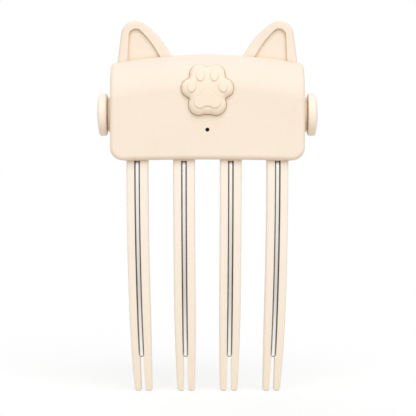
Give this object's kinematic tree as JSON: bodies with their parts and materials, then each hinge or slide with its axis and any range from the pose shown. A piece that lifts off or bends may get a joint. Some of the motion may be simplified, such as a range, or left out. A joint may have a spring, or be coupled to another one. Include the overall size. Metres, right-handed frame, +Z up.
{
  "type": "heated root volumizing clip",
  "caption": "Cordless heated clip that lifts hair at the root: forked heater tines and a sprung jaw under a body with cat ears, a paw push button and side knobs.",
  "frame": {"origin": "middle of the row of forks, level with the body's underside, half way between the backs of the forks and the jaw's pads: the middle of the hair grip where it leaves the body", "axes": "+Z up through the ears, the forks point to -Z; the front with the button faces -Y; +X is the right side seen from the front"},
  "size_m": [0.0748, 0.0342, 0.1266],
  "materials": {
    "cream_shell": "fine matt cream ABS",
    "cream_button": "fine matt cream ABS",
    "cream_knob": "satin cream ABS",
    "cream_fork": "satin heat-resisting nylon",
    "cream_jaw": "fine matt cream ABS",
    "soft_pad": "matt silicone",
    "rod_steel": "polished stainless steel",
    "shaft_steel": "ground",
    "spring_steel": "drawn wire",
    "screw_steel": "zinc plated",
    "lens_black": "smoked clear",
    "bush_plastic": "cream acetal",
    "carrier_plastic": "glass-filled nylon",
    "board_green": "solder mask",
    "heater_board_white": "alumina",
    "core_ceramic": "sintered",
    "terminal_brass": "plain",
    "tab_nickel": "nickel strip",
    "cell_wrap": "laminated foil",
    "switch_black": "plain",
    "light_white": "clear",
    "socket_steel": "drawn shell"
  },
  "bodies": {
    "body": {"front_housing": "cream_shell", "rear_housing": "cream_shell", "indicator_lens": "lens_black", "fork_carrier": "carrier_plastic", "heater_board": "heater_board_white", "heater_cores": "core_ceramic", "rod_terminals": "terminal_brass", "thermistor": "core_ceramic", "torsion_spring": "spring_steel", "end_bush_left": "bush_plastic", "end_bush_right": "bush_plastic", "main_board": "board_green", "board_screws": "screw_steel", "tact_switch": "switch_black", "status_light": "light_white", "battery_cell": "cell_wrap", "battery_tray": "carrier_plastic", "cell_tabs": "tab_nickel", "charge_socket": "socket_steel", "socket_tongue": "switch_black", "charge_board": "board_green", "housing_screws": "screw_steel", "fork_1": "cream_fork", "heater_rod_1": "rod_steel", "fork_2": "cream_fork", "heater_rod_2": "rod_steel", "fork_3": "cream_fork", "heater_rod_3": "rod_steel", "fork_4": "cream_fork", "heater_rod_4": "rod_steel"},
    "jaw": {"clamp_jaw": "cream_jaw", "lever_pad": "soft_pad", "grip_pads": "soft_pad", "pivot_shaft": "shaft_steel", "knob_left": "cream_knob", "knob_right": "cream_knob"},
    "button": {"paw_button": "cream_button", "switch_stem": "switch_black"}
  },
  "joints": [
    {"name": "jaw_hinge", "type": "hinge", "parent": "body", "child": "jaw", "pos_m": [0, 0.0071, 0.0157], "axis": [1, 0, 0], "range_deg": [0, 14], "stiffness_Nm_per_rad": 0.12, "springref_deg": -28.65, "deforming": ["torsion_spring"]},
    {"name": "button_press", "type": "slide", "parent": "body", "child": "button", "axis": [0, 1, 0], "range_m": [0, 0.0005], "stiffness_N_per_m": 800, "springref_m": -0.001}
  ]
}
